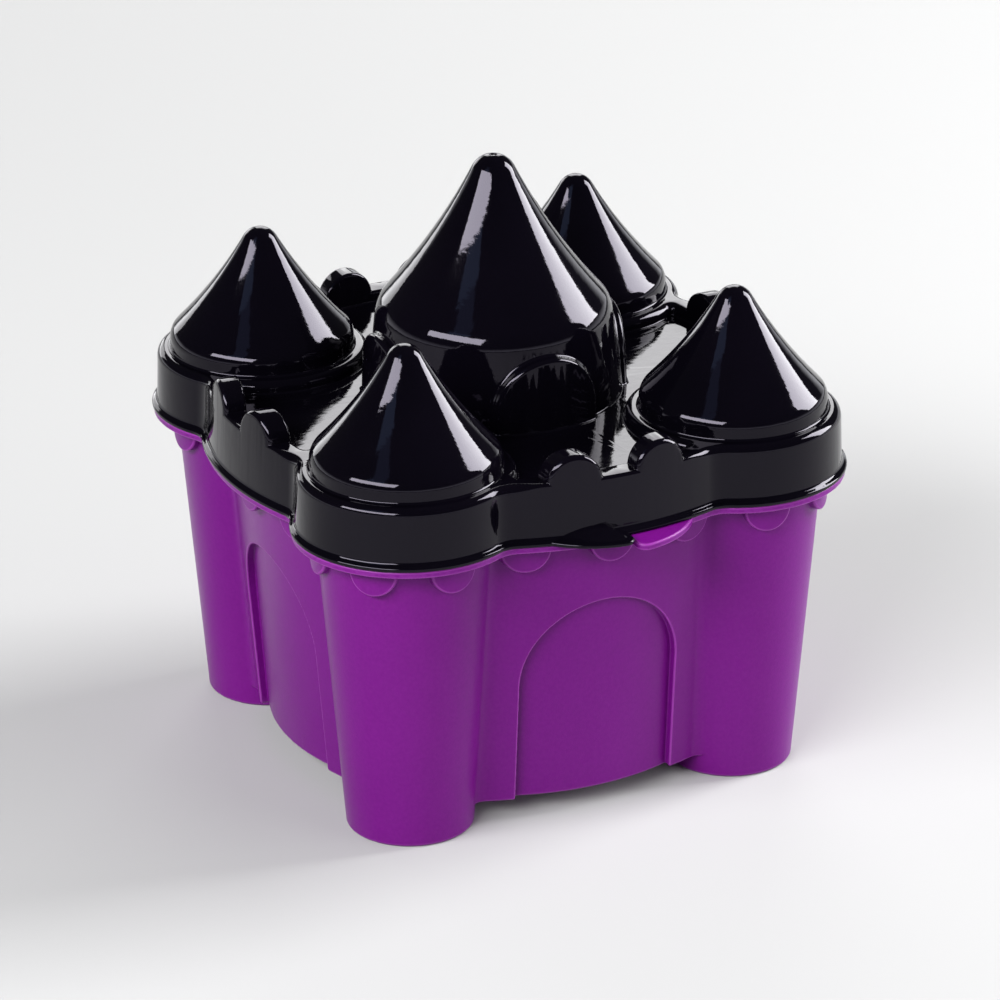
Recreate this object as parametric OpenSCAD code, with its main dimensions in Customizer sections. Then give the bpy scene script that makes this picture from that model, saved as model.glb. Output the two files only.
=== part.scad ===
// Castle-shaped sand bucket with a lift-off roof lid. Millimetres, +Z up.
// The origin is the middle of the base, on the plane of the four tower feet.
// The opening tab is on the -Y side.

/* [Plan] */
// Distance between the axes of neighbouring corner towers
tower_pitch = 116; // [114:0.5:118]
// Thickness of the moulded plastic
wall = 1.8; // [1.4:0.1:2.2]

/* [Bucket] */
// Radius of a tower at its foot
tower_foot_r = 20.65; // [19.5:0.05:21.5]
// Radius that a tower gains for each millimetre of height
tower_draft = 0.082; // [0.07:0.002:0.09]
// Height of the underside of the walls above the tower feet
wall_floor_z = 7.2; // [5:0.1:9]
// Middle of a wall to the bucket's centre, at the underside of the wall
wall_foot_reach = 77.7; // [76:0.1:79]
// Reach that a wall gains for each millimetre of height
wall_draft = 0.08; // [0.07:0.002:0.09]
// Half the width of the arched door panel in each wall
door_half_w = 27.8; // [24:0.1:28.5]
// Height at which the door panel's round top starts
door_spring_z = 49; // [40:0.5:52]
// Middle of the door panel to the bucket's centre, at its foot
door_foot_reach = 76.1; // [75:0.1:76.5]
// Reach that the door panel gains for each millimetre of height
door_draft = 0.07; // [0.05:0.002:0.08]

/* [Bucket rim] */
// Underside of the rim lip
lip_z = 101.4; // [100:0.1:103]
// Thickness of the rim lip
lip_h = 2.3; // [1.5:0.1:3]
// Radius of the rim lip round a tower
lip_tower_r = 36.6; // [36:0.1:37]
// Reach of the rim lip at the middle of a wall
lip_reach = 94.9; // [94:0.1:95.5]
// Top of the spigot that the lid slips over
spigot_top_z = 113; // [108:0.5:116]
// Radius of the round scallops that hang under the lip
scallop_r = 8; // [6:0.5:9]
// How far the scallops stand out from the walls
scallop_proud = 3.4; // [2:0.1:4]
// How far the scallops stand out from the towers
tower_scallop_proud = 2.2; // [2:0.1:4]
// Angle between neighbouring scallops on a tower
tower_scallop_turn = 50; // [45:1:55]

/* [Lid] */
// Gap between the rim lip and the lid's flange
lid_gap = 0.1; // [0.05:0.05:0.3]
// Thickness of the lid's flange
flange_h = 1.5; // [1.2:0.1:2.5]
// Radius of the flange round a tower
flange_tower_r = 37.2; // [36.8:0.1:38]
// Reach of the flange at the middle of a wall
flange_reach = 95.9; // [95.5:0.1:97]
// How far the flange stands out from the skirt
flange_proud = 1.8; // [1.4:0.1:2]
// Height of the deck
deck_z = 120; // [118:0.5:121]
// Height of the parapet round the deck
parapet_z = 124.1; // [123.5:0.1:125]
// Depth of the parapet from its outer face
parapet_d = 8; // [7:0.5:10]
// Radius of a merlon's round top
merlon_r = 9.2; // [8:0.2:10]
// Distance from the middle of a wall to a merlon
merlon_x = 14.9; // [13:0.1:17]

/* [Roofs] */
// Radius of a corner roof at its eaves
roof_r = 30.6; // [29:0.1:31]
// Height of a corner roof's eaves
roof_eaves_z = 129.4; // [128:0.1:131]
// Height of a corner roof's tip
roof_tip_z = 165.4; // [155:0.1:170]
// Radius of a corner roof's round tip
roof_tip_r = 6.4; // [3:0.1:8]
// Radius of a corner roof's hollow slope
roof_curve_r = 165; // [100:5:400]
// Radius of the keep's wall at the deck
keep_foot_r = 41.6; // [40:0.1:42]
// Radius of the keep at its eaves
keep_r = 38.6; // [37:0.1:39]
// Height of the keep's eaves
keep_eaves_z = 149.8; // [147:0.1:151]
// Height of the keep's tip
keep_tip_z = 200.5; // [190:0.1:206]
// Radius of the keep's round tip
keep_tip_r = 7.9; // [4:0.1:9]
// Radius of the hollow slope of the keep's roof
keep_curve_r = 215; // [100:5:400]
// Half the width of a dormer on the keep
dormer_half_w = 18.2; // [15:0.1:19]
// Height of the top of a dormer
dormer_top_z = 144.2; // [142:0.1:146]
// Distance of a dormer's face from the keep's axis, at the deck
dormer_reach = 43.6; // [43:0.1:46]
// How far a dormer's face leans in for each mm of height
dormer_draft = 0.04; // [0:0.01:0.1]

/* [Opening tab] */
// Reach of the lid's half of the opening tab
lid_tab_reach = 103.5; // [101:0.1:104]
// Reach of the bucket's half of the opening tab
bucket_tab_reach = 104.8; // [102:0.1:106]
// Radius of the tab's round edge
tab_r = 33; // [30:0.5:36]
// Rounding of the tab's corners where its two halves meet
tab_corner_r = 3.6; // [2:0.1:5]
// Distance of the slit between the two halves from the middle
tab_slit_x = 1.5; // [0:0.1:3]
// Width of that slit
tab_slit = 0.5; // [0.3:0.1:1]

/* [Hidden] */
$fn = 180;
eps = 0.5;                       // overlap that makes united pieces one solid
half = tower_pitch / 2;
wall_centre = 29.3;              // centre of a wall's arc, beyond the bucket's axis
rim_centre = 11.2;               // the same for the rim, the lip and the lid
door_centre = 3;                 // the same for a door panel
neck_r = 9;                      // fillet between a tower and a wall in plan
bite = 0.02;                     // how far a fillet crosses what it would only touch
fit_gap = 0.5;                   // room between the spigot and the lid's skirt
shoulder_r = 2.7;                // rounding of the ring below each corner roof
hat_cones = 6;                   // cones that a roof's hollow slope is made of
tip_cones = 5;                   // cones that a roof's round tip is made of, the last one flat
flange_z = lip_z + lip_h + lid_gap;
skirt_tower_r = flange_tower_r - flange_proud;
skirt_reach = flange_reach - flange_proud;
spigot_tower_r = skirt_tower_r - wall - fit_gap;
spigot_reach = skirt_reach - wall - fit_gap;
tower_lip_r = tower_foot_r + tower_draft * lip_z;
wall_lip_reach = wall_foot_reach + wall_draft * (lip_z - wall_floor_z);
scallop_z = lip_z - 0.9;
scallop_pitch = 28.7;
door_step = 45;                  // inner end of the door cutter, inside the bucket
tall = 400;                      // longer than the whole object

// Point at distance ra from a and rb from b, on the side of the line a-b
// that side (1 or -1) says.
function meet(a, ra, b, rb, side) =
    let (d = norm(b - a), u = (b - a) / d,
         s = (ra * ra - rb * rb + d * d) / (2 * d), h = sqrt(ra * ra - s * s))
    a + s * u + side * h * [-u[1], u[0]];

// Square plan with four bowed sides; reach is the middle of a side.
module bowed_square(reach, centre) {
    intersection_for (a = [0, 90, 180, 270])
        rotate(a) translate([0, centre]) circle(r = reach + centre);
}

// Fillet in plan between the tower at (-half, -half) and the -Y side.
module neck(tower_r, reach, centre, r) {
    tower = [-half, -half];
    arc = [0, centre];
    middle = meet(tower, tower_r + r, arc, reach + centre + r, -1);
    difference() {
        polygon([tower, middle, arc]);
        translate(middle) circle(r = r + bite);
    }
}

// Four towers joined by bowed walls, with filleted necks.
module castle_plan(tower_r, reach, inset = 0) {
    for (x = [-half, half], y = [-half, half])
        translate([x, y]) circle(r = tower_r - inset);
    bowed_square(reach - inset, rim_centre);
    for (a = [0, 90, 180, 270], m = [0, 1])
        rotate(a) mirror([m, 0])
            neck(tower_r - inset, reach - inset, rim_centre, neck_r + inset);
}

module at_towers() {
    for (x = [-half, half], y = [-half, half]) translate([x, y, 0]) children();
}

// One copy of the children, drawn on the -Y side, for each wall.
module at_walls() {
    for (a = [0, 90, 180, 270]) rotate(a) children();
}

// Wall of a drum whose -Y side has the given reach at z0 and the given draft.
module drum(z0, z1, reach, draft, centre) {
    r = reach + centre;
    translate([0, centre, z0]) cylinder(h = z1 - z0, r1 = r, r2 = r + draft * (z1 - z0));
}

// ---------------------------------------------------------------- bucket

// What one door recess takes away, on the -Y side.
module door_cut(inset) {
    difference() {
        translate([0, -door_step, 0]) rotate([90, 0, 0]) linear_extrude(tall / 4) union() {
            translate([0, door_spring_z]) circle(r = door_half_w + inset);
            translate([-door_half_w - inset, -eps])
                square([2 * (door_half_w + inset), door_spring_z + eps]);
        }
        drum(-1, lip_z, door_foot_reach - inset - door_draft * (1 + wall_floor_z),
             door_draft, door_centre);
    }
}

// Towers and walls up to height top, all faces moved inwards by inset.
module bucket_form(inset, top) {
    at_towers() translate([0, 0, inset])
        cylinder(h = top - inset, r1 = tower_foot_r - inset + tower_draft * inset,
                 r2 = tower_foot_r - inset + tower_draft * top);
    floor_z = wall_floor_z + inset;
    difference() {
        intersection_for (a = [0, 90, 180, 270])
            rotate(a) drum(floor_z, top, wall_foot_reach - inset + wall_draft * inset,
                           wall_draft, wall_centre);
        at_walls() door_cut(inset);
    }
}

// Half discs that hang under the lip, round the towers and along the walls.
module scallops() {
    at_walls() {
        for (i = [-1, 0, 1]) intersection() {
            translate([i * scallop_pitch, -door_step, scallop_z]) rotate([90, 0, 0])
                cylinder(h = tall / 4, r = scallop_r);
            translate([0, wall_centre, scallop_z - scallop_r])
                cylinder(h = lip_z + eps - scallop_z + scallop_r,
                         r = wall_lip_reach + scallop_proud + wall_centre);
        }
        for (i = [-1, 0, 1]) translate([-half, -half, 0]) intersection() {
            rotate(i * tower_scallop_turn - 45) translate([0, 0, scallop_z]) rotate([90, 0, 0])
                cylinder(h = 2 * half, r = scallop_r);
            translate([0, 0, scallop_z - scallop_r])
                cylinder(h = lip_z + eps - scallop_z + scallop_r,
                         r = tower_lip_r + tower_scallop_proud);
        }
    }
}

// Where a half of the tab ends at the slit: side is -1 for -X and 1 for +X.
function tab_end(side) = tab_slit_x + side * tab_slit / 2;

// One half of the round opening tab, with a rounded corner beside the slit.
module tab_plan(reach, side) {
    end = tab_end(side);
    round_x = end + side * tab_corner_r;
    round_y = tab_r - reach - sqrt(pow(tab_r - tab_corner_r, 2) - round_x * round_x);
    touch_x = round_x * tab_r / (tab_r - tab_corner_r);
    intersection() {
        translate([0, -reach + tab_r]) circle(r = tab_r);
        translate([side > 0 ? touch_x : -tab_r, -reach])
            square([tab_r - side * touch_x, tab_r]);
    }
    translate([round_x, round_y]) circle(r = tab_corner_r + bite);
    translate([side > 0 ? end : touch_x - eps, round_y])
        square([abs(touch_x - end) + eps, tab_r]);
}

module bucket() color("#7a1f86") {
    difference() {
        union() {
            bucket_form(0, lip_z + eps);
            scallops();
            translate([0, 0, lip_z]) linear_extrude(lip_h) union() {
                castle_plan(lip_tower_r, lip_reach);
                tab_plan(bucket_tab_reach, 1);
            }
            translate([0, 0, lip_z]) linear_extrude(spigot_top_z - lip_z)
                castle_plan(spigot_tower_r, spigot_reach);
        }
        bucket_form(wall, lip_z + lip_h);
        translate([0, 0, lip_z + lip_h]) linear_extrude(tall)
            castle_plan(spigot_tower_r, spigot_reach, wall);
    }
}

// ------------------------------------------------------------------- lid

// Half section of a pointed roof: a hollow slope from the eaves to a round tip.
module hat_section(r, eaves_z, tip_z, tip_r, curve_r, inset) {
    tip = [0, tip_z - tip_r];
    centre = meet([r, eaves_z], curve_r, tip, curve_r + tip_r, -1);
    slope_r = curve_r + inset;
    join = atan2(centre[1] - tip[1], centre[0] - tip[0]);
    first = 360 - acos((r - inset - centre[0]) / slope_r);
    bottom = eaves_z - eps - inset;
    flat = join + (90 - join) * (tip_cones - 1) / tip_cones;
    polygon([[0, bottom], [r - inset, bottom],
             for (i = [0:hat_cones]) let (a = first + (180 + join - first) * i / hat_cones)
                 centre + slope_r * [cos(a), sin(a)],
             for (i = [1:tip_cones - 1]) let (a = join + (90 - join) * i / tip_cones)
                 tip + (tip_r - inset) * [cos(a), sin(a)],
             [0, tip[1] + (tip_r - inset) * sin(flat)]]);
}

// Half section of a corner roof with its ring and rounded shoulder.
module roof_section(inset) {
    bottom = deck_z - inset - eps;
    square_top = parapet_z - inset;
    shoulder = shoulder_r - inset * 0.5;
    edge = skirt_tower_r - inset;
    translate([0, bottom]) square([edge - shoulder, square_top - bottom]);
    translate([0, bottom]) square([edge, square_top - shoulder - bottom]);
    translate([edge - shoulder, square_top - shoulder]) circle(r = shoulder);
    translate([0, square_top - eps]) square([roof_r - inset, roof_eaves_z - square_top + eps]);
    hat_section(roof_r, roof_eaves_z, roof_tip_z, roof_tip_r, roof_curve_r, inset);
}

// Half section of the keep: a drafted wall under a pointed roof.
module keep_section(inset) {
    bottom = deck_z - inset - eps;
    polygon([[0, bottom], [keep_foot_r - inset, bottom], [keep_r - inset, keep_eaves_z],
             [0, keep_eaves_z]]);
    hat_section(keep_r, keep_eaves_z, keep_tip_z, keep_tip_r, keep_curve_r, inset);
}

// Arched dormer on the -Y side of the keep.
module dormer(inset) {
    w = dormer_half_w - inset;
    spring_z = dormer_top_z - dormer_half_w;
    h = keep_eaves_z - deck_z + inset + eps;
    foot_r = dormer_reach - inset + dormer_draft * (inset + eps);
    intersection() {
        translate([0, 0, deck_z - inset - eps])
            cylinder(h = h, r1 = foot_r, r2 = foot_r - dormer_draft * h);
        rotate([90, 0, 0]) linear_extrude(tall) union() {
            translate([0, spring_z]) circle(r = w);
            translate([-w, deck_z - inset - eps]) square([2 * w, spring_z - deck_z + inset + eps]);
        }
    }
}

// Plan of the parapet that stands along the four walls, between the tower rings.
module parapet_plan(inset) {
    difference() {
        castle_plan(skirt_tower_r, skirt_reach, inset);
        bowed_square(skirt_reach - parapet_d + inset, rim_centre);
        for (x = [-half, half], y = [-half, half])
            translate([x, y]) circle(r = roof_r + 1.5 + (inset > 0 ? 1 : 0));
    }
}

// Everything above the flange, all faces moved inwards by inset.
module lid_form(inset) {
    bottom = flange_z - (inset > 0 ? 1 : 0);
    translate([0, 0, bottom]) linear_extrude(deck_z - inset - bottom)
        castle_plan(skirt_tower_r, skirt_reach, inset);
    translate([0, 0, deck_z - inset - eps]) linear_extrude(parapet_z - deck_z + eps)
        parapet_plan(inset);
    intersection() {
        translate([0, 0, deck_z - inset - eps]) linear_extrude(tall) parapet_plan(inset);
        at_walls() for (x = [-merlon_x, merlon_x])
            translate([x, 0, parapet_z - 0.9]) rotate([90, 0, 0])
                cylinder(h = tall, r = merlon_r - inset);
    }
    at_towers() rotate_extrude() roof_section(inset);
    rotate_extrude() keep_section(inset);
    at_walls() dormer(inset);
}

// The lid's half of the opening tab, thick at the skirt and thin at its edges.
module lid_tab() {
    rise = 3.2;
    run = 2.4;                    // how far the tab's top runs for each mm it rises
    thin = flange_h - 0.2;        // thickness at the edges
    end = tab_end(-1);
    intersection() {
        translate([0, 0, flange_z]) linear_extrude(flange_h + rise)
            tab_plan(lid_tab_reach, -1);
        translate([0, tab_r - lid_tab_reach, flange_z])
            cylinder(h = flange_h + rise, r1 = tab_r + thin * run,
                     r2 = tab_r - (flange_h + rise - thin) * run);
        translate([0, 0, flange_z]) rotate([90, 0, 0]) linear_extrude(tall)
            polygon([[-tall, -eps], [end + eps, -eps], [end + eps, thin], [end, thin],
                     [end - (flange_h + rise + eps - thin) * run, flange_h + rise + eps],
                     [-tall, flange_h + rise + eps]]);
    }
}

module lid() color("#17151b") {
    difference() {
        union() {
            lid_form(0);
            translate([0, 0, flange_z]) linear_extrude(flange_h)
                castle_plan(flange_tower_r, flange_reach);
            lid_tab();
        }
        lid_form(wall);
    }
}

bucket();
lid();
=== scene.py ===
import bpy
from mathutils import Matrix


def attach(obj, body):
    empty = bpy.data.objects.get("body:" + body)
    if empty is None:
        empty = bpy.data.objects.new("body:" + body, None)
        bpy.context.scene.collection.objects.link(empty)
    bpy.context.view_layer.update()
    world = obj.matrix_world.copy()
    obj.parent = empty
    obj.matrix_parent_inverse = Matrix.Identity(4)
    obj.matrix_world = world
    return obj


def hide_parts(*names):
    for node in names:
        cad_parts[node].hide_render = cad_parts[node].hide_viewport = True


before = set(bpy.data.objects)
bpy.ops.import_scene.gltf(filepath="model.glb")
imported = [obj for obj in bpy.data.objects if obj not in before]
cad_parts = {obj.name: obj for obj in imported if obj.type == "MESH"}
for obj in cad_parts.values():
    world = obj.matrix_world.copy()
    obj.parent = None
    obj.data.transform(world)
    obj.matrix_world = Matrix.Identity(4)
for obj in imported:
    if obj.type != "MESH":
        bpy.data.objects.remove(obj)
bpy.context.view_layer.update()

import math

import bpy
import numpy as np
from mathutils import Matrix, Vector

# Castle sand bucket: a satin purple bucket with a glossy black roof lid.
MM = 0.001                  # one millimetre in metres

# ---------------------------------------------------------------- dimensions, mm
HALF = 58.0                 # tower axes at (+-HALF, +-HALF)
WALL = 1.8                  # moulded thickness
MAX_REACH = 97.5            # how far the cells reach along v and u
RIM_C = 11.2                # centre of the rim's arcs beyond the axis
WALL_C = 29.3               # the same for the bucket's walls
DOOR_C = 3.0                # the same for the door panels
BODY_NECK_R = 5.0           # fillets in plan between a tower and a wall
LIP_NECK_R = 9.0            # the same for the lip and the flange
SKIRT_NECK_R = 9.5          # the same for the spigot and the skirt

FLOOR_Z = 7.2               # underside of the bucket between its feet
TOWER_FOOT_R, TOWER_DRAFT = 20.65, 0.082
WALL_FOOT, WALL_DRAFT = 77.7, 0.08      # reach from the axis at FLOOR_Z
DOOR_FOOT, DOOR_DRAFT = 76.1, 0.07
DOOR_HALF, DOOR_SPRING_Z = 27.8, 49.0
LIP_Z0, LIP_Z1 = 101.4, 103.7
LIP_TOWER_R, LIP_REACH = 36.6, 94.9
SCALLOP_R, SCALLOP_Z = 8.0, 100.2
SCALLOP_WALL_Z = 99.2                   # where a wall's scallops stand out from it
SCALLOP_XS = (0.0, 28.7)                # along a wall, from its middle
SCALLOP_TURNS = (45, 95)                # round a tower, degrees
WALL_SCALLOP_PROUD, TOWER_SCALLOP_PROUD = 3.4, 2.2
SPIGOT_TOWER_R, SPIGOT_REACH, SPIGOT_Z = 33.1, 91.8, 113.0

FLANGE_Z0, FLANGE_Z1 = 103.8, 105.3
FLANGE_TOWER_R, FLANGE_REACH = 37.2, 95.9
SKIRT_TOWER_R, SKIRT_TOWER_Z, SKIRT_TOWER_DRAFT = 35.5, 106, 0.035
SKIRT_REACH, SKIRT_Z, SKIRT_DRAFT = 94.25, 105, 0.042
DECK_Z = 120.0
ROOT_Z = DECK_Z - 4                     # roofs and keep start inside the deck
CURB_Z, CURB_D = 124.1, 8.0             # top and depth of the parapet
MERLON_R, MERLON_X, MERLON_Z = 9.2, 14.9, 123.2
RING_R = 35.2                           # the ring round a corner roof
ROOF_R, ROOF_EAVES_Z, ROOF_TIP_Z, ROOF_TIP_R, ROOF_BOW = 30.6, 129.6, 165.4, 6.4, 165.0
KEEP_R, KEEP_EAVES_Z, KEEP_TIP_Z, KEEP_TIP_R, KEEP_BOW = 38.6, 149.9, 200.5, 7.9, 215.0
KEEP_FOOT_R, KEEP_DRAFT = 41.6, 0.1
DORMER_HALF, DORMER_SPRING_Z = 18.2, 126.0
DORMER_REACH, DORMER_DRAFT = 43.6, 0.04
GATE_R, GATE_Z = 1.1, 199.9             # the small dimple in the keep's tip


# ---------------------------------------------------------------- distance fields
# A point is (v, u, z): u points out of a wall, v runs along it, and the object's
# eightfold symmetry folds every point to 0 <= v <= u. Negative is inside.
def join(a, b, r):
    """Union with a fillet of radius r in the corner."""
    return np.maximum(r, np.minimum(a, b)) - np.hypot(
        np.maximum(r - a, 0), np.maximum(r - b, 0))


def cut(a, b, r):
    """Intersection with its edge rounded to radius r."""
    return -join(-a, -b, r)


def ramp(x, lo, hi):
    t = np.clip((x - lo) / (hi - lo), 0, 1)
    return t * t * (3 - 2 * t)


def plan(v, u, tower_r, reach, centre, fillet):
    """Four towers and bowed walls in plan, with exact fillets in the necks."""
    wall_r = reach + centre
    tower = np.hypot(v - HALF, u - HALF) - tower_r
    wall = np.hypot(v, u + centre) - wall_r
    gap = math.hypot(HALF, HALF + centre)
    a, b = tower_r + fillet, wall_r + fillet
    along = (a * a - b * b + gap * gap) / (2 * gap)
    across = np.sqrt(np.maximum(a * a - along * along, 0))
    ex, ey = -HALF / gap, -(HALF + centre) / gap
    fv, fu = HALF + along * ex + across * ey, HALF + along * ey - across * ex
    pv, pu = v - fv, u - fu
    side_t = (HALF - fv) * pu - (HALF - fu) * pv
    side_w = (0 - fv) * pu - (-centre - fu) * pv
    inside = (side_t < 0) & (side_w > 0)
    return np.where(inside, fillet - np.hypot(pv, pu), np.minimum(tower, wall))


def hat(rho, z, eaves_r, eaves_z, tip_z, tip_r, bow):
    """Pointed roof with a hollow slope and a round tip."""
    tip = tip_z - tip_r
    dx, dz = -eaves_r, tip - eaves_z
    gap = math.hypot(dx, dz)
    a, b = bow, bow + tip_r
    along = (a * a - b * b + gap * gap) / (2 * gap)
    across = math.sqrt(a * a - along * along)
    cx = eaves_r + along * dx / gap + across * dz / gap
    cz = eaves_z + along * dz / gap - across * dx / gap
    slope = bow - np.hypot(rho - cx, z - cz)
    round_tip = np.hypot(rho, z - tip) - tip_r
    above = (z - tip) * cx - rho * (cz - tip) > 0
    return np.where(above, round_tip, slope)


def arched(v, z, spring_z, half_width):
    """An upright opening with a round top that springs from spring_z."""
    return np.where(z > spring_z, np.hypot(v, z - spring_z), v) - half_width


def fold(v, u):
    v, u = np.abs(v), np.abs(u)
    return np.minimum(v, u), np.maximum(v, u)


def bucket_body(v, u, z):
    """Towers and walls with their door panels, without a top."""
    tower_r = TOWER_FOOT_R + TOWER_DRAFT * z
    reach = WALL_FOOT + WALL_DRAFT * (z - FLOOR_Z)
    side = plan(v, u, tower_r, reach, WALL_C, BODY_NECK_R)
    door_reach = DOOR_FOOT + DOOR_DRAFT * (z - FLOOR_Z)
    arch = arched(v, z, DOOR_SPRING_Z, DOOR_HALF)
    panel = np.hypot(v, u + DOOR_C) - (door_reach + DOOR_C)
    side = cut(side, join(-arch, panel, 0.5), 0.55)
    walls = cut(side, FLOOR_Z - z, 1.0)
    tower = np.hypot(v - HALF, u - HALF) - tower_r
    return np.minimum(walls, cut(tower, -z, 1.3))


def scallops(v, u, z):
    """Half discs that hang below the lip, on the walls and round the towers."""
    wall_top = WALL_FOOT + WALL_DRAFT * (SCALLOP_WALL_Z - FLOOR_Z)
    front = np.hypot(v, u + WALL_C) - (wall_top + WALL_C + WALL_SCALLOP_PROUD)
    pv, pu = v - HALF, u - HALF
    tower_top_r = TOWER_FOOT_R + TOWER_DRAFT * LIP_Z0
    tower_front = np.hypot(pv, pu) - (tower_top_r + TOWER_SCALLOP_PROUD)
    round_off = 0.7
    d = np.full_like(z, np.inf)
    for x in SCALLOP_XS:
        disc = np.hypot(v - x, z - SCALLOP_Z) - SCALLOP_R
        d = np.minimum(d, cut(disc, front, round_off))
    for turn in SCALLOP_TURNS:
        nv, nu = math.cos(math.radians(turn)), math.sin(math.radians(turn))
        ahead = pv * nv + pu * nu
        disc = np.hypot(pv * nu - pu * nv, z - SCALLOP_Z) - SCALLOP_R
        d = np.minimum(d, np.maximum(cut(disc, tower_front, round_off), 5 - ahead))
    return np.maximum(d, z - LIP_Z0 - 0.5)


def bucket(v, u, z):
    v, u = fold(v, u)
    body = bucket_body(v, u, z)
    outer = np.maximum(body, z - LIP_Z1 + 0.5)
    outer = join(outer, scallops(v, u, z), 0.4)
    lip = plan(v, u, LIP_TOWER_R, LIP_REACH, RIM_C, LIP_NECK_R)
    lip = cut(lip, np.abs(z - (LIP_Z0 + LIP_Z1) / 2) - (LIP_Z1 - LIP_Z0) / 2, 0.6)
    outer = join(outer, lip, 0.6)
    spigot = plan(v, u, SPIGOT_TOWER_R, SPIGOT_REACH, RIM_C, SKIRT_NECK_R)
    outer = join(outer, cut(np.maximum(spigot, LIP_Z0 + 0.5 - z), z - SPIGOT_Z, 0.8), 0.5)
    hollow = np.minimum(np.maximum(body + WALL, z - LIP_Z1 - 2),
                        np.maximum(spigot + WALL, LIP_Z1 - z))
    return cut(outer, -hollow, 0.5)


def parapet(v, u, z, tower):
    """The lid's skirt and deck, with the parapet and its merlons."""
    tower_r = SKIRT_TOWER_R - SKIRT_TOWER_DRAFT * (z - SKIRT_TOWER_Z)
    reach = SKIRT_REACH - SKIRT_DRAFT * (z - SKIRT_Z)
    skirt = plan(v, u, tower_r, reach, RIM_C, SKIRT_NECK_R)
    near = 1 - ramp(tower, 37.0, 46.0)      # rounder edges close to a tower
    band = cut(skirt, z - CURB_Z, 1.2 + 1.6 * near)
    curb_in = np.hypot(v, u + RIM_C) - (reach + RIM_C - CURB_D)
    pocket = cut(curb_in, RING_R - tower, 2.0)
    d = cut(band, join(-pocket, z - DECK_Z, 0.7), 1.1 + 1.7 * near)
    merlon = cut(np.hypot(v - MERLON_X, z - MERLON_Z) - MERLON_R, skirt, 1.8)
    return np.minimum(d, cut(merlon, -curb_in, 1.2))


def keep(v, rho, z):
    """The middle tower with its roof, four dormers and the dimple in its tip."""
    wall_r = KEEP_FOOT_R - KEEP_DRAFT * (z - DECK_Z)
    roof = hat(rho, z, KEEP_R, KEEP_EAVES_Z, KEEP_TIP_Z, KEEP_TIP_R, KEEP_BOW)
    d = cut(roof, rho - wall_r, 1.9)
    dormer_reach = DORMER_REACH - DORMER_DRAFT * (z - DECK_Z)
    dormer = cut(arched(v, z, DORMER_SPRING_Z, DORMER_HALF), rho - dormer_reach, 1.4)
    gate = cut(rho - GATE_R, GATE_Z - z, 0.3)
    return cut(np.maximum(join(d, dormer, 1.0), ROOT_Z - z), -gate, 0.3)


def lid(v, u, z):
    v, u = fold(v, u)
    tower = np.hypot(v - HALF, u - HALF)
    roof = hat(tower, z, ROOF_R, ROOF_EAVES_Z, ROOF_TIP_Z, ROOF_TIP_R, ROOF_BOW)
    roof = cut(roof, tower - ROOF_R, 1.5)
    d = join(parapet(v, u, z, tower), np.maximum(roof, ROOT_Z - z), 1.0)
    d = join(d, keep(v, np.hypot(v, u), z), 0.8)
    flange = plan(v, u, FLANGE_TOWER_R, FLANGE_REACH, RIM_C, LIP_NECK_R)
    outer = join(d, cut(flange, z - FLANGE_Z1, 0.7), 1.6)
    outer = cut(outer, FLANGE_Z0 - z, 0.5)
    return cut(outer, -(d + WALL), 0.4)


# ---------------------------------------------------------------- meshing
CORNERS = np.array([[i, j, k] for i in (0, 1) for j in (0, 1) for k in (0, 1)])
CELL_EDGES = [(a, b) for a in range(8) for b in range(a + 1, 8)
              if bin(a ^ b).count("1") == 1]
KEY_BASE = 4096             # more than the number of cells along any side


def find_cells(field, lo, hi, h, levels=4):
    """Cells of edge h that may hold the surface, found by halving large cells."""
    size = h * 2 ** levels
    n = np.ceil((hi - lo) / size).astype(int)
    c = np.stack(np.meshgrid(*[np.arange(k) for k in n], indexing="ij"), -1).reshape(-1, 3)
    for _ in range(levels + 1):
        mid = lo + (c + 0.5) * size
        c = c[mid[:, 1] + size > mid[:, 0] - size]
        mid = lo + (c + 0.5) * size
        c = c[np.abs(field(*mid.T)) < size + 0.2]
        if size > h * 1.5:
            size /= 2
            c = (2 * c[:, None, :] + CORNERS).reshape(-1, 3)
    return c


def gradient(field, p, e=0.02):
    g = np.empty_like(p)
    for k in range(3):
        a, b = p.copy(), p.copy()
        a[:, k] += e
        b[:, k] -= e
        g[:, k] = (field(*a.T) - field(*b.T)) / (2 * e)
    return g


def settle(field, p, steps=3, cap=0.2):
    """Moves points along the field's gradient on to its surface."""
    for _ in range(steps):
        d = field(*p.T)
        g = gradient(field, p)
        s = np.clip(d / np.maximum((g * g).sum(1), 0.25), -cap, cap)
        p = p - g * s[:, None]
    return p


def cell_key(c):
    return (c[..., 0] * KEY_BASE + c[..., 1]) * KEY_BASE + c[..., 2]


def net_points(c, f, lo, h):
    """One point a cell: the mean of the places where its edges cross the surface."""
    total, count = np.zeros((len(c), 3)), np.zeros(len(c))
    for a, b in CELL_EDGES:
        crossed = (f[:, a] < 0) != (f[:, b] < 0)
        t = f[:, a] / np.where(crossed, f[:, a] - f[:, b], 1)
        q = CORNERS[a] + t[:, None] * (CORNERS[b] - CORNERS[a])
        total += np.where(crossed[:, None], q, 0)
        count += crossed
    return lo + (c + total / count[:, None]) * h


def ring_steps(axis):
    """The steps from a cell to the three others that share its edge along axis."""
    b, c = np.zeros(3, int), np.zeros(3, int)
    b[(axis + 1) % 3], c[(axis + 2) % 3] = 1, 1
    return b, b + c, c


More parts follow.
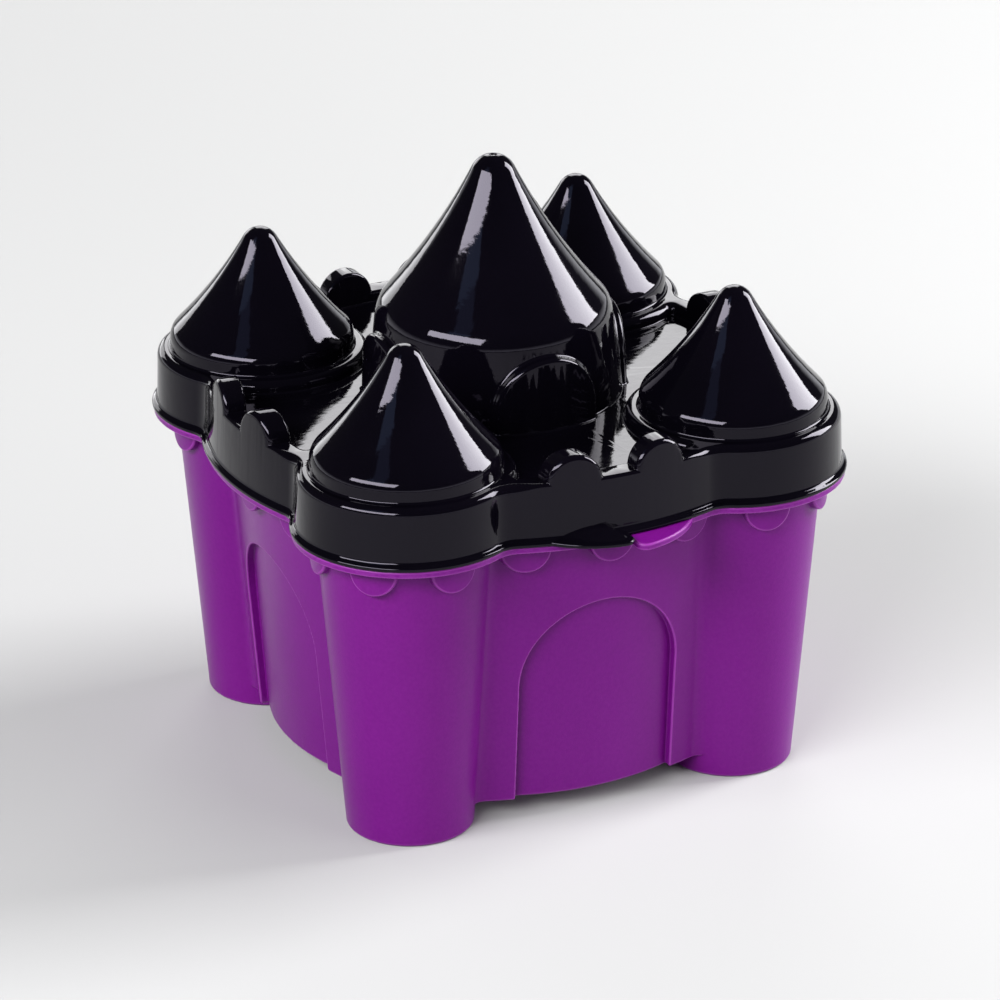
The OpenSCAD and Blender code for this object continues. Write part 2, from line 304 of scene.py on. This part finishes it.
def octant_mesh(field, low_z, hi, h):
    """Surface net of the field over 0 <= v <= u, as points and triangles."""
    lo = np.array([-h / 2, -h / 2, low_z])
    c = find_cells(field, lo, np.array(hi, float), h)
    key = cell_key(c)
    uniq, inv = np.unique(cell_key(c[:, None, :] + CORNERS).ravel(), return_inverse=True)
    at = np.stack([uniq // KEY_BASE ** 2, uniq // KEY_BASE % KEY_BASE, uniq % KEY_BASE])
    f = field(*(at.T * h + lo).T)[inv].reshape(-1, 8)
    live = (f < 0).any(1) & (f >= 0).any(1)
    c, f, key = c[live], f[live], key[live]
    order = np.argsort(key)
    c, f, key = c[order], f[order], key[order]
    p = net_points(c, f, lo, h)
    quads = []
    for axis in range(3):
        crossed = (f[:, 0] < 0) != (f[:, 4 >> axis] < 0)
        ids = np.nonzero(crossed)[0]
        around = [ids]
        good = np.ones(len(ids), bool)
        for step in ring_steps(axis):
            want = c[ids] - step
            k = cell_key(want)
            j = np.clip(np.searchsorted(key, k), 0, len(key) - 1)
            good &= (key[j] == k) & (want >= 0).all(1)
            around.append(j)
        q = np.stack(around, 1)[good]
        flip = f[ids, 0][good] >= 0
        q[flip] = q[flip][:, ::-1]
        quads.append(q)
    q = np.concatenate(quads)
    # split each quad along the diagonal that keeps to one side of the fold planes
    ahead = c[:, 1] - c[:, 0]
    on02 = (ahead[q[:, 0]] == ahead[q[:, 2]])
    on13 = (ahead[q[:, 1]] == ahead[q[:, 3]])
    d02 = np.linalg.norm(p[q[:, 0]] - p[q[:, 2]], axis=1)
    d13 = np.linalg.norm(p[q[:, 1]] - p[q[:, 3]], axis=1)
    straddle = (ahead[q].min(1) < 0) & (ahead[q].max(1) > 0)
    use02 = np.where(straddle, on02 & (ahead[q[:, 0]] == 0), d02 <= d13)
    tris = np.concatenate([q[use02][:, [0, 1, 2]], q[use02][:, [0, 2, 3]],
                           q[~use02][:, [0, 1, 3]], q[~use02][:, [1, 2, 3]]])
    tris = tris[(ahead[tris] >= 0).all(1)]
    p = settle(field, p)
    used = np.unique(tris)
    new = np.full(len(p), -1)
    new[used] = np.arange(len(used))
    return p[used], new[tris]


# ---------------------------------------------------------------- building
def snap(p, edge_points):
    """Puts the mesh's open edge back on the two fold planes."""
    v, u = p[edge_points, 0], p[edge_points, 1]
    on_v = np.abs(v) < np.abs(u - v)
    mean = (u + v) / 2
    p[edge_points, 0] = np.where(on_v, 0.0, mean)
    p[edge_points, 1] = np.where(on_v, u, mean)
    axis = edge_points[np.hypot(v, u) < 0.2]
    p[axis, :2] = 0.0
    return p


def open_edge(tris, count):
    e = np.sort(np.concatenate([tris[:, [0, 1]], tris[:, [1, 2]], tris[:, [2, 0]]]), 1)
    uniq, uses = np.unique(e[:, 0] * count + e[:, 1], return_counts=True)
    rim = uniq[uses == 1]
    return np.unique(np.concatenate([rim // count, rim % count]))


def make_mesh(name, points, tris):
    mesh = bpy.data.meshes.new(name)
    mesh.vertices.add(len(points))
    mesh.vertices.foreach_set("co", points.astype(np.float32).ravel())
    mesh.loops.add(len(tris) * 3)
    mesh.loops.foreach_set("vertex_index", tris.astype(np.int32).ravel())
    mesh.polygons.add(len(tris))
    mesh.polygons.foreach_set("loop_start", np.arange(0, len(tris) * 3, 3, dtype=np.int32))
    mesh.update(calc_edges=True)
    return mesh


def thinned(points, tris, target):
    """The mesh with its flat areas collapsed to about target triangles."""
    mesh = make_mesh("thin", points, tris)
    ob = bpy.data.objects.new("thin", mesh)
    bpy.context.scene.collection.objects.link(ob)
    mod = ob.modifiers.new("thin", "DECIMATE")
    mod.ratio = min(1.0, target / len(tris))
    lean = ob.evaluated_get(bpy.context.evaluated_depsgraph_get()).to_mesh()
    p = np.empty(len(lean.vertices) * 3, np.float32)
    lean.vertices.foreach_get("co", p)
    lean.calc_loop_triangles()
    t = np.empty(len(lean.loop_triangles) * 3, np.int32)
    lean.loop_triangles.foreach_get("vertices", t)
    bpy.data.objects.remove(ob)
    bpy.data.meshes.remove(mesh)
    return p.reshape(-1, 3).astype(float), t.reshape(-1, 3).astype(int)


def outward_turn(field, p, e=0.35):
    """How sharply the surface turns outwards near each point, 1/mm."""
    total = -6 * field(*p.T)
    for k in range(3):
        for shift in (-e, e):
            q = p.copy()
            q[:, k] += shift
            total += field(*q.T)
    return total / (e * e)


def corner_shading(field, p, tris):
    """Normals and outward turn from the field, as four numbers a corner. A corner
    of a flat triangle that ends in a fillet takes them from just inside the
    triangle, so flats stay flat."""
    def unit(a):
        return a / np.maximum(np.linalg.norm(a, axis=-1, keepdims=True), 1e-9)
    at_point = unit(gradient(field, p))[tris]
    mid = p[tris].mean(1, keepdims=True)
    inner = (p[tris] * 0.8 + mid * 0.2).reshape(-1, 3)
    inside = unit(gradient(field, inner)).reshape(-1, 3, 3)
    turned = (at_point * inside).sum(-1, keepdims=True) < math.cos(math.radians(7))
    turn = outward_turn(field, inner).reshape(-1, 3, 1)
    return np.concatenate([np.where(turned, inside, at_point), turn], -1)


def eightfold(p, tris, shading):
    """Repeats one octant round the axis and welds it."""
    ps, ts, ns = [], [], []
    for turn in range(4):
        for side in (1, -1):
            def place(a):
                x, y = a[..., 0] * side, -a[..., 1]
                for _ in range(turn):
                    x, y = -y, x
                return np.concatenate([np.stack([x, y], -1), a[..., 2:]], -1)
            t = tris + len(p) * len(ps)
            n = place(shading)
            ts.append(t if side < 0 else t[:, ::-1])
            ns.append(n if side < 0 else n[:, ::-1])
            ps.append(place(p))
    p, t, n = np.concatenate(ps), np.concatenate(ts), np.concatenate(ns)
    key = np.round(p * 1e5).astype(np.int64)
    _, first, back = np.unique(key, axis=0, return_index=True, return_inverse=True)
    t = back.reshape(-1)[t]
    whole = (t[:, 0] != t[:, 1]) & (t[:, 1] != t[:, 2]) & (t[:, 2] != t[:, 0])
    return p[first], t[whole], n[whole]


def moulding(field, low_z, high_z, h, target):
    """Points, triangles and corner shading of one whole moulding."""
    p, tris = octant_mesh(field, low_z, (MAX_REACH, MAX_REACH, high_z), h)
    p, tris = thinned(p, tris, target)
    rim = open_edge(tris, len(p))
    p = snap(p, rim)
    p = snap(settle(field, p, 2, 0.1), rim)
    return eightfold(p, tris, corner_shading(field, p, tris))


def block_mesh(field, lo, hi, h):
    """Surface net of a small closed shape in world coordinates."""
    span = [np.arange(a, b + h, h) for a, b in zip(lo, hi)]
    grid = np.stack(np.meshgrid(*span, indexing="ij"), -1)
    shape = grid.shape[:3]
    f = field(*grid.reshape(-1, 3).T).reshape(shape)
    n = np.array(shape) - 1
    vals = np.stack([f[i:n[0] + i, j:n[1] + j, k:n[2] + k] for i, j, k in CORNERS], -1)
    live = (vals < 0).any(-1) & (vals >= 0).any(-1)
    index = np.full(tuple(n), -1)
    index[live] = np.arange(live.sum())
    c, w = np.argwhere(live), vals[live]
    p = net_points(c, w, np.array(lo), h)
    quads = []
    for axis in range(3):
        ids = np.nonzero((w[:, 0] < 0) != (w[:, 4 >> axis] < 0))[0]
        around = [ids] + [index[tuple((c[ids] - step).T)] for step in ring_steps(axis)]
        q = np.stack(around, 1)
        q[w[ids, 0] >= 0] = q[w[ids, 0] >= 0][:, ::-1]
        quads.append(q)
    q = np.concatenate(quads)
    tris = np.concatenate([q[:, [0, 1, 2]], q[:, [0, 2, 3]]])
    p = settle(field, p)
    return p, tris, corner_shading(field, p, tris)


def add_piece(name, body, node, parts, material):
    """One object from (points, triangles, corner shading) parts in millimetres."""
    base, ps, ts, ns = 0, [], [], []
    for p, t, n in parts:
        ps.append(p)
        ts.append(t + base)
        ns.append(n)
        base += len(p)
    p, t, n = np.concatenate(ps) * MM, np.concatenate(ts), np.concatenate(ns)
    mesh = make_mesh(name, p, t)
    mesh.shade_smooth()
    mesh.normals_split_custom_set(n[..., :3].reshape(-1, 3).tolist())
    # the outward turn on every corner is the mask for the purple's painted edge highlight
    turn = mesh.attributes.new("outward_turn", "FLOAT", "CORNER")
    turn.data.foreach_set("value", n[..., 3].astype(np.float32).ravel())
    ob = bpy.data.objects.new(name, mesh)
    bpy.context.scene.collection.objects.link(ob)
    mesh.materials.append(material)
    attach(ob, body)
    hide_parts(node)


# ---------------------------------------------------------------- opening tab
TAB_R = 33.0                # outline of the tab, one lens for both halves
TAB_CORNER_R = 3.6          # at the slit between the halves
BUCKET_TAB_REACH, BUCKET_TAB_X, BUCKET_TAB_ROOT = 104.8, 1.75, 90.5
LID_TAB_REACH, LID_TAB_X, LID_TAB_ROOT = 103.5, 1.25, 90.8
LID_TAB_RISE = 3.4          # how far the lid's half swells towards its root
BUCKET_TAB_DROP = 0.01      # keep the tab's faces off the planes of the lip
LID_TAB_INSET = 0.02        # and of the flange


def lens(x, y, reach):
    return np.hypot(x, y + reach - TAB_R) - TAB_R


def bucket_tab(x, y, z):
    half = cut(lens(x, y, BUCKET_TAB_REACH), BUCKET_TAB_X - x, TAB_CORNER_R)
    half = np.maximum(half, y + BUCKET_TAB_ROOT)
    level = z - (LIP_Z0 + LIP_Z1) / 2 + BUCKET_TAB_DROP
    return cut(half, np.abs(level) - (LIP_Z1 - LIP_Z0) / 2, 0.6)


def lid_tab(x, y, z):
    edge = cut(lens(x, y, LID_TAB_REACH), x - LID_TAB_X, TAB_CORNER_R)
    half = np.maximum(edge, y + LID_TAB_ROOT)
    rise = LID_TAB_RISE * ramp(-edge, 0.4, 8.4)
    top = (z - FLANGE_Z1 + LID_TAB_INSET - rise) * 0.88     # nearly a true distance
    return cut(cut(half, top, 0.6), FLANGE_Z0 + LID_TAB_INSET - z, 0.5)


# ---------------------------------------------------------------- materials
def new_material(name):
    mat = bpy.data.materials.new(name)
    mat.use_nodes = True
    tree = mat.node_tree
    return mat, tree, tree.nodes["Principled BSDF"]


def node(tree, kind, **values):
    n = tree.nodes.new(kind)
    for key, value in values.items():
        if key in n.inputs:
            n.inputs[key].default_value = value
        else:
            setattr(n, key, value)
    return n


def noise(tree, coords, scale, detail=2.0, rough=0.5):
    n = node(tree, "ShaderNodeTexNoise", Scale=scale, Detail=detail, Roughness=rough)
    tree.links.new(coords, n.inputs["Vector"])
    return n.outputs["Fac"]


def remap(tree, source, a, b, lo, hi):
    n = node(tree, "ShaderNodeMapRange")
    for i, value in enumerate((a, b, lo, hi), 1):
        n.inputs[i].default_value = value
    tree.links.new(source, n.inputs[0])
    return n.outputs[0]


def blend_colour(tree, factor, a, b):
    n = node(tree, "ShaderNodeMix", data_type="RGBA")
    tree.links.new(factor, n.inputs[0])
    for socket, value in ((n.inputs[6], a), (n.inputs[7], b)):
        if isinstance(value, tuple):
            socket.default_value = value
        else:
            tree.links.new(value, socket)
    return n.outputs[2]


def bump(tree, height, strength, distance, under=None):
    n = node(tree, "ShaderNodeBump", Strength=strength, Distance=distance)
    tree.links.new(height, n.inputs["Height"])
    if under is not None:
        tree.links.new(under, n.inputs["Normal"])
    return n.outputs["Normal"]


def purple_plastic():
    mat, tree, bsdf = new_material("purple_satin")
    at = node(tree, "ShaderNodeTexCoord").outputs["Object"]
    cloud = noise(tree, at, 9.0, 3.0)
    colour = blend_colour(tree, remap(tree, cloud, 0.35, 0.65, 0, 1),
                          (0.108, 0.0018, 0.138, 1), (0.122, 0.0025, 0.154, 1))
    # painted highlight: where the surface turns outwards, on convex edges, the purple is
    # painted lighter, standing in for the sheen of light along those edges
    edge = node(tree, "ShaderNodeAttribute", attribute_name="outward_turn").outputs["Fac"]
    colour = blend_colour(tree, remap(tree, edge, 0.25, 1.3, 0.0, 0.42), colour,
                          (0.33, 0.060, 0.37, 1))
    mottle = remap(tree, noise(tree, at, 800.0, 3.0), 0.3, 0.7, 0.0, 0.10)
    colour = blend_colour(tree, mottle, colour, (0.24, 0.020, 0.28, 1))
    tree.links.new(colour, bsdf.inputs["Base Color"])
    grain = noise(tree, at, 2600.0, 2.0)
    rough = remap(tree, noise(tree, at, 24.0, 2.0), 0.3, 0.7, 0.30, 0.35)
    tree.links.new(rough, bsdf.inputs["Roughness"])
    wave = bump(tree, noise(tree, at, 60.0, 2.0), 0.05, 0.002)
    tree.links.new(bump(tree, grain, 0.2, 0.0002, wave), bsdf.inputs["Normal"])
    bsdf.inputs["Specular IOR Level"].default_value = 0.17
    return mat


def black_gloss():
    mat, tree, bsdf = new_material("black_gloss")
    at = node(tree, "ShaderNodeTexCoord").outputs["Object"]
    colour = blend_colour(tree, remap(tree, noise(tree, at, 14.0, 3.0), 0.35, 0.65, 0, 1),
                          (0.0010, 0.0008, 0.0018, 1), (0.0018, 0.0013, 0.0030, 1))
    tree.links.new(colour, bsdf.inputs["Base Color"])
    rough = remap(tree, noise(tree, at, 70.0, 5.0), 0.35, 0.7, 0.035, 0.075)
    tree.links.new(rough, bsdf.inputs["Roughness"])
    peel = bump(tree, noise(tree, at, 260.0, 3.0), 0.05, 0.0008)
    tree.links.new(bump(tree, noise(tree, at, 3000.0, 1.0), 0.03, 0.0001, peel),
                   bsdf.inputs["Normal"])
    bsdf.inputs["Specular IOR Level"].default_value = 0.22
    bsdf.inputs["Specular Tint"].default_value = (0.88, 0.82, 1.0, 1)
    return mat


# ---------------------------------------------------------------- object
VOXEL = 0.4          # edge of a cell, mm
SHARE = 23500      # triangles in one eighth of a moulding

purple, black = purple_plastic(), black_gloss()
add_piece(
    "bucket_moulding", "bucket", "bucket",
    [moulding(bucket, -1.5, 114.5, VOXEL, SHARE),
     block_mesh(bucket_tab, (1.0, -106.0, 100.5), (29.0, -89.5, 104.5), 0.4)], purple)
add_piece(
    "lid_moulding", "lid", "lid",
    [moulding(lid, 102.0, 203.0, VOXEL, SHARE),
     block_mesh(lid_tab, (-31.0, -105.0, 102.5), (3.0, -89.5, 110.5), 0.4)], black)


# ---------------------------------------------------------------- camera
def add_camera():
    """A long lens, high on the -X side of the front, as the object is seen."""
    az, el, roll = math.radians(-25.14), math.radians(23.44), math.radians(0.28)
    target, distance = Vector((0, 0, 85)), 1775.5
    shift_x, shift_y = -1.70, 5.62
    back = Vector((math.sin(az) * math.cos(el), -math.cos(az) * math.cos(el), math.sin(el)))
    right = Vector((math.cos(az), math.sin(az), 0))
    up = back.cross(right)
    axes = Matrix((right, up, back)).transposed() @ Matrix.Rotation(-roll, 3, "Z")
    place = target + axes @ Vector((-shift_x, -shift_y, distance))
    data = bpy.data.cameras.new("camera")
    data.sensor_width = 36.0
    data.lens = 193.22
    data.clip_start, data.clip_end = 0.05, 50.0
    cam = bpy.data.objects.new("camera", data)
    bpy.context.scene.collection.objects.link(cam)
    cam.matrix_world = Matrix.Translation(place * MM) @ axes.to_4x4()
    bpy.context.scene.camera = cam


add_camera()


# ---------------------------------------------------------------- studio
CAMERA_SIDE = -115.14       # azimuth of the camera, degrees from +X
LIGHT_FAR = 2.0             # distance of the softboxes, m
LIGHT_AIM = Vector((0, 0, 0.13))        # what they face, m


def softbox(name, turn, low, high, spread, radiance, colour=(1, 1, 1)):
    """A panel from low to high degrees above the floor and spread degrees wide,
    turn degrees to the right of the camera."""
    az, el = math.radians(CAMERA_SIDE + turn), math.radians((low + high) / 2)
    wide = 2 * LIGHT_FAR * math.tan(math.radians(spread / 2)) * math.cos(el)
    tall = 2 * LIGHT_FAR * math.tan(math.radians((high - low) / 2))
    data = bpy.data.lights.new(name, "AREA")
    data.shape = "RECTANGLE"
    data.size, data.size_y = wide, tall
    data.energy = radiance * math.pi * wide * tall
    data.color = colour
    ob = bpy.data.objects.new(name, data)
    bpy.context.scene.collection.objects.link(ob)
    back = Vector((math.cos(az) * math.cos(el), math.sin(az) * math.cos(el), math.sin(el)))
    right = Vector((-math.sin(az), math.cos(az), 0))
    axes = Matrix((right, back.cross(right), back)).transposed()
    ob.matrix_world = Matrix.Translation(LIGHT_AIM + back * LIGHT_FAR) @ axes.to_4x4()
    ob.visible_camera = False
    return ob


def add_floor():
    mesh = bpy.data.meshes.new("floor")
    r = 8.0
    mesh.from_pydata([(-r, -r, 0), (r, -r, 0), (r, r, 0), (-r, r, 0)], [], [(0, 1, 2, 3)])
    ob = bpy.data.objects.new("floor", mesh)
    bpy.context.scene.collection.objects.link(ob)
    mat, _, bsdf = new_material("floor_pale")
    bsdf.inputs["Base Color"].default_value = (0.45, 0.45, 0.45, 1)
    bsdf.inputs["Roughness"].default_value = 1.0
    bsdf.inputs["Specular IOR Level"].default_value = 0.0
    mesh.materials.append(mat)


def add_world():
    """Pale towards the floor, nearly black above it."""
    world = bpy.data.worlds.new("studio")
    bpy.context.scene.world = world
    world.use_nodes = True
    tree = world.node_tree
    split = node(tree, "ShaderNodeSeparateXYZ")
    tree.links.new(node(tree, "ShaderNodeTexCoord").outputs["Generated"], split.inputs[0])
    level = remap(tree, split.outputs["Z"], 0.04, 0.17, 1.7, 0.05)
    tree.links.new(level, tree.nodes["Background"].inputs["Strength"])
    tree.nodes["Background"].inputs["Color"].default_value = (0.95, 0.96, 1.0, 1)


add_floor()
add_world()
softbox("window_left", -41.0, 25.0, 41.0, 60.0, 20.0)
fill = softbox("fill_right", 70.0, 4.0, 30.0, 50.0, 4.2)
fill.visible_glossy = False     # it brightens the purple without a reflection
softbox("sky_left", -42.0, 41.0, 50.0, 26.0, 1.1, (0.45, 0.65, 1.0))
softbox("sky_left_high", -42.0, 50.0, 62.0, 22.0, 0.5, (0.45, 0.6, 1.0))
softbox("window_right", 111.0, 11.0, 45.0, 27.0, 22.0)
softbox("rim_left", -150.0, 1.0, 22.0, 24.0, 3.2)
softbox("backdrop", 180.0, 12.0, 40.0, 30.0, 5.0)
bpy.context.scene.view_settings.view_transform = "Standard"
